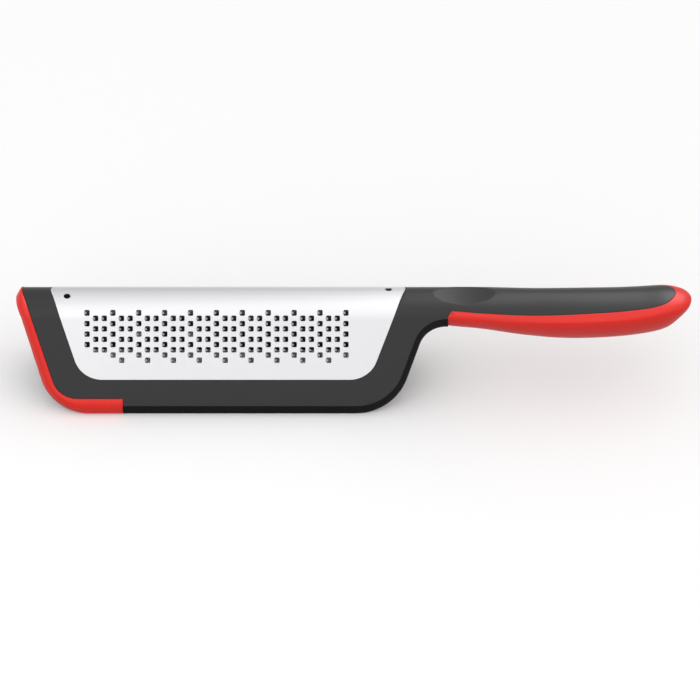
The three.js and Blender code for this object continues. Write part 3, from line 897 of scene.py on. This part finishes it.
def buildTooth(name, wide, tall, rise):
    deselectAll()
    bpy.ops.mesh.primitive_plane_add(size=1)
    piece = bpy.context.object
    piece.name = name
    bpy.ops.object.mode_set(mode="EDIT")
    bpy.ops.transform.resize(value=(tooth["root"], tall * tooth["width"], 1), center_override=(0, 0, 0))
    place = Vector((-wide / 2 - tooth["root"] / 2, 0, sheet["proud"] + tooth["above"]))
    bpy.ops.transform.translate(value=place)
    for reach, narrow, lift in tooth["steps"]:
        bpy.ops.object.mode_set(mode="OBJECT")
        front = max(vertex.co.x for vertex in piece.data.vertices)
        for vertex in piece.data.vertices:
            vertex.select = vertex.co.x > front - 0.001
        for edge in piece.data.edges:
            edge.select = all(piece.data.vertices[end].select for end in edge.vertices)
        for face in piece.data.polygons:
            face.select = False
        bpy.ops.object.mode_set(mode="EDIT")
        move = (wide * reach, 0, rise * lift)
        bpy.ops.mesh.extrude_region_move(TRANSFORM_OT_translate={"value": move})
        bpy.ops.transform.resize(value=(1, narrow, 1), center_override=(0, 0, 0))
    bpy.ops.object.mode_set(mode="OBJECT")
    recalculateNormals(piece)
    applyModifier(piece, "SOLIDIFY", thickness=tooth["thickness"], offset=-1)
    # the tooth's darker steel is painted shade
    piece.data.materials.append(toothSteelPaintedShade)
    return piece


def copyTo(piece, places):
    copies = []
    for along, across in places:
        twin = piece.copy()
        twin.data = piece.data.copy()
        bpy.context.scene.collection.objects.link(twin)
        twin.data.transform(Matrix.Translation((along, across, 0)))
        copies.append(twin)
    bpy.data.objects.remove(piece)
    return copies


# lugs under the margins of the sheet, each bent outward at its foot
lug = {
    "length": 8.0, "thickness": 0.6, "drop": 7.2, "foot": 3.0, "into": 0.05,
    "across": 30.3, "places": (-108, -84, -60, -36, -12),
}


def buildLug(side):
    deselectAll()
    bpy.ops.mesh.primitive_cube_add(size=1)
    piece = bpy.context.object
    piece.name = "sheet_lug"
    top = sheet["proud"] - sheet["thickness"] + lug["into"]
    bend = top - lug["drop"] + lug["thickness"]
    bpy.ops.object.mode_set(mode="EDIT")
    bpy.ops.transform.resize(value=(lug["length"], lug["thickness"], lug["drop"]), center_override=(0, 0, 0))
    bpy.ops.transform.translate(value=(0, 0, top - lug["drop"] / 2))
    bpy.ops.mesh.bisect(plane_co=(0, 0, bend), plane_no=(0, 0, 1))
    bpy.ops.mesh.select_all(action="DESELECT")
    bpy.ops.object.mode_set(mode="OBJECT")
    for face in piece.data.polygons:
        face.select = face.normal.y * side > 0.9 and face.center.z < bend
    bpy.ops.object.mode_set(mode="EDIT")
    bpy.ops.mesh.select_mode(type="FACE")
    bpy.ops.mesh.extrude_region_move(TRANSFORM_OT_translate={"value": (0, side * lug["foot"], 0)})
    bpy.ops.object.mode_set(mode="OBJECT")
    piece.data.materials.append(steel)
    return piece


def buildSheet():
    curve = bpy.data.curves.new("sheet_cut", "CURVE")
    curve.dimensions = "2D"
    curve.fill_mode = "BOTH"
    curve.extrude = sheet["thickness"] / 2
    addSpline(curve, recessLoop(sheet["clear"]))
    for along, across in finePlaces():
        addSpline(curve, holeOutline(along, across, sheet["fineWide"], sheet["fineTall"]))
    for along, across in coarsePlaces():
        addSpline(curve, holeOutline(along, across, sheet["coarseWide"], sheet["coarseTall"]))
    for along, side in ((sheet["registerLeft"], -1), (sheet["registerRight"], 1)):
        ring = []
        for step in range(sheet["registerPoints"]):
            angle = 2 * math.pi * step / sheet["registerPoints"]
            ring.append(Vector((along + sheet["registerWide"] * math.cos(angle),
                                side * sheet["registerAway"] + sheet["registerTall"] * math.sin(angle))))
        addSpline(curve, ring)
    blank = bpy.data.objects.new("grating_steel", curve)
    bpy.context.scene.collection.objects.link(blank)
    pick(blank)
    bpy.ops.object.convert(target="MESH")
    blank = bpy.context.object
    blank.data.transform(Matrix.Translation((0, 0, sheet["proud"] - sheet["thickness"] / 2)))
    weld(blank, 0.001)
    blank.data.materials.append(steel)
    fineTooth = buildTooth("fine_tooth", sheet["fineWide"], sheet["fineTall"], sheet["fineRise"])
    coarseTooth = buildTooth("coarse_tooth", sheet["coarseWide"], sheet["coarseTall"], sheet["coarseRise"])
    teeth = copyTo(fineTooth, finePlaces()) + copyTo(coarseTooth, coarsePlaces())
    lugs = []
    for side in (-1, 1):
        lugs += copyTo(buildLug(side), [(along, side * (bendRun + lug["across"])) for along in lug["places"]])
    piece = joinPieces("grating_steel", [blank] + teeth + lugs)
    foldOver(piece)
    recalculateNormals(piece)
    return piece


gratingSteel = buildSheet()
finishPiece(gratingSteel, 30)
print("steel sheet built")


for piece, node, slot in (
    (frameMoulding, "frame", "black_plastic"),
    (gratingSteel, "grating_sheet", "steel_sheet"),
    (tipGuard, "tip_guard", "red_soft"),
    (gripCover, "grip_cover", "red_soft"),
):
    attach(piece, "root")
    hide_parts(node)

for name in ("front_liner", "back_liner", "handle_under_shell"):
    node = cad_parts[name]
    for place in node.material_slots:
        place.material = blackPlastic
print("pieces set on the frame")

# white table and a soft sky, brightest overhead and dimmer behind; a large softbox from the front right,
# a card over the handle that only shows as gloss, and a weak fill at the guard
studio = {
    "floor": "#ffffff", "bounce": "#787878", "floorSize": 40.0,
    "sky": 0.71, "skyUp": 0.33, "skyFront": 0.18,
    "lamps": {
        "key_softbox": {"place": (0.5, -0.95, 0.85), "aim": (0.5, 0, 0.03),
                        "wide": 1.5, "deep": 1.9, "power": 2.1, "diffuse": True},
        "handle_card": {"place": (0.34, 0.152, 0.5625), "aim": (0.34, -0.144, 0.05),
                        "wide": 0.44, "deep": 0.65, "power": 3.7, "diffuse": False},
        "guard_fill": {"place": (-0.38, -0.45, 0.24), "aim": (-0.16, 0, 0.03),
                       "wide": 0.5, "deep": 0.4, "power": 0.36, "diffuse": True},
    },
}


def buildStudio():
    deselectAll()
    bpy.ops.mesh.primitive_plane_add(size=studio["floorSize"], location=(0, 0, 0))
    floor = bpy.context.object
    floor.name = "table"
    paper = newMaterial("white_table_paper")
    path = addNode(paper, "ShaderNodeLightPath")
    seen = addNode(paper, "ShaderNodeMath", {"operation": "ADD"}, links={
        0: path.outputs["Is Camera Ray"], 1: path.outputs["Is Glossy Ray"]})
    seen = addNode(paper, "ShaderNodeMath", {"operation": "ADD", "use_clamp": True}, links={
        0: seen.outputs[0], 1: path.outputs["Is Transmission Ray"]})
    tone = addNode(paper, "ShaderNodeMix", {"data_type": "RGBA"}, {
        6: linearFromHex(studio["bounce"]), 7: linearFromHex(studio["floor"])}, {0: seen.outputs[0]})
    matt = addNode(paper, "ShaderNodeBsdfDiffuse", links={"Color": tone.outputs[2]})
    addNode(paper, "ShaderNodeOutputMaterial", links={"Surface": matt.outputs[0]})
    floor.data.materials.append(paper)
    world = bpy.data.worlds.new("studio_sky")
    bpy.context.scene.world = world
    world.use_nodes = True
    world.node_tree.nodes.clear()
    place = addNode(world, "ShaderNodeTexCoord")
    slope = addNode(world, "ShaderNodeVectorMath", {"operation": "DOT_PRODUCT"},
                    {1: (0, -studio["skyFront"], studio["skyUp"])}, {0: place.outputs["Generated"]})
    bright = addNode(world, "ShaderNodeMath", {"operation": "ADD"}, {1: studio["sky"]},
                     {0: slope.outputs["Value"]})
    sky = addNode(world, "ShaderNodeBackground", values={"Color": (1, 1, 1, 1)},
                  links={"Strength": bright.outputs[0]})
    addNode(world, "ShaderNodeOutputWorld", links={"Surface": sky.outputs[0]})
    for name, lamp in studio["lamps"].items():
        light = bpy.data.lights.new(name, "AREA")
        light.shape = "RECTANGLE"
        light.size = lamp["wide"]
        light.size_y = lamp["deep"]
        light.energy = lamp["power"]
        holder = bpy.data.objects.new(name, light)
        bpy.context.scene.collection.objects.link(holder)
        holder.location = lamp["place"]
        aim = Vector(lamp["aim"]) - Vector(lamp["place"])
        holder.rotation_euler = aim.to_track_quat("-Z", "Y").to_euler()
        holder.visible_diffuse = lamp["diffuse"]


buildStudio()
print("studio lit")

# camera at the height of the photograph, far away behind a long lens
view = {
    "elevation": 40.0, "lens": 800.0, "sensor": 36, "sight": 50,
    "distance": 7.79, "target": (-0.002, 0.0, 0.02004),
}


def placeCamera():
    lens = bpy.data.cameras.new("camera")
    lens.lens = view["lens"]
    lens.sensor_width = view["sensor"]
    lens.clip_end = view["sight"]
    holder = bpy.data.objects.new("camera", lens)
    bpy.context.scene.collection.objects.link(holder)
    tilt = math.radians(view["elevation"])
    target = Vector(view["target"])
    holder.location = target + Vector((0, -math.cos(tilt), math.sin(tilt))) * view["distance"]
    holder.rotation_euler = (math.pi / 2 - tilt, 0, 0)
    bpy.context.scene.camera = holder


placeCamera()
bpy.context.scene.view_settings.view_transform = "Standard"
